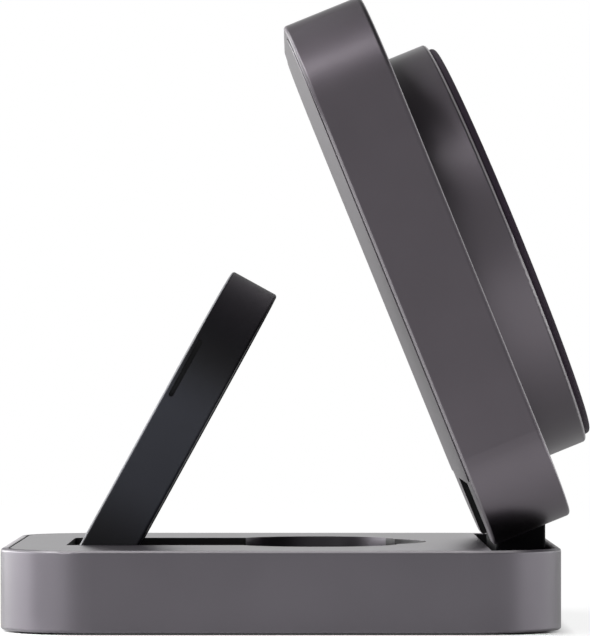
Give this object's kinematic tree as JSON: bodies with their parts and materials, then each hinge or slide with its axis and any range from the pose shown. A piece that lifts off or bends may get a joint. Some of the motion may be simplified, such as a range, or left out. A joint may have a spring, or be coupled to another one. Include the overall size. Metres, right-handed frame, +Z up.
{
  "type": "foldable two-in-one wireless charger",
  "caption": "Square grey metal base with a hinged panel that carries a round magnetic phone puck, and a black watch-charging arm that folds into the deck.",
  "frame": {"origin": "centre of the base's footprint, on the surface that the foot pad stands on", "axes": "+Z up, +X towards the panel's hinge and the phone's side, -X towards the socket, +Y across"},
  "size_m": [0.0796, 0.0746, 0.0842],
  "materials": {
    "grey_aluminium": "bead-blasted, anodised dark grey",
    "black_moulding": "matt black moulding",
    "black_arm": "satin black",
    "black_disc": "smooth black",
    "foot_rubber": "matt black rubber",
    "pad_rubber": "soft-touch black rubber",
    "steel": "plain steel",
    "socket_black": "black moulding with gold contacts",
    "magnet_nickel": "nickel-plated magnet",
    "copper": "wound copper wire",
    "ferrite": "dark grey ferrite",
    "board": "green circuit board",
    "chips": "black chip packages"
  },
  "bodies": {
    "base": {"base_shell": "grey_aluminium", "deck_plate": "grey_aluminium", "arm_well": "black_moulding", "hinge_block": "black_moulding", "hinge_sleeves": "steel", "foot_pad": "foot_rubber", "base_screws": "steel", "base_circuit_board": "board", "base_components": "chips", "usb_socket_shell": "steel", "usb_socket_tongue": "socket_black"},
    "panel": {"panel_shell": "grey_aluminium", "panel_back_cover": "grey_aluminium", "hinge_pin": "steel", "puck_housing": "grey_aluminium", "puck_pad": "pad_rubber", "coil_carrier": "black_moulding", "alignment_magnets": "magnet_nickel", "phone_ferrite": "ferrite", "phone_coil": "copper", "puck_screws": "steel", "panel_circuit_board": "board", "panel_components": "chips"},
    "watch_arm": {"arm_body": "black_arm", "arm_back_plate": "black_arm", "charging_disc": "black_disc", "watch_coil": "copper", "watch_ferrite": "ferrite", "watch_magnet": "magnet_nickel", "arm_pivot_pin": "steel"}
  },
  "joints": [
    {"name": "panel_fold", "type": "hinge", "parent": "base", "child": "panel", "pos_m": [0.03275, 0, 0.018], "axis": [0, -1, 0], "range_deg": [0, 15]},
    {"name": "arm_fold", "type": "hinge", "parent": "base", "child": "watch_arm", "pos_m": [-0.0252, 0, 0.0074], "axis": [0, 1, 0], "range_deg": [0, 61.15]}
  ]
}
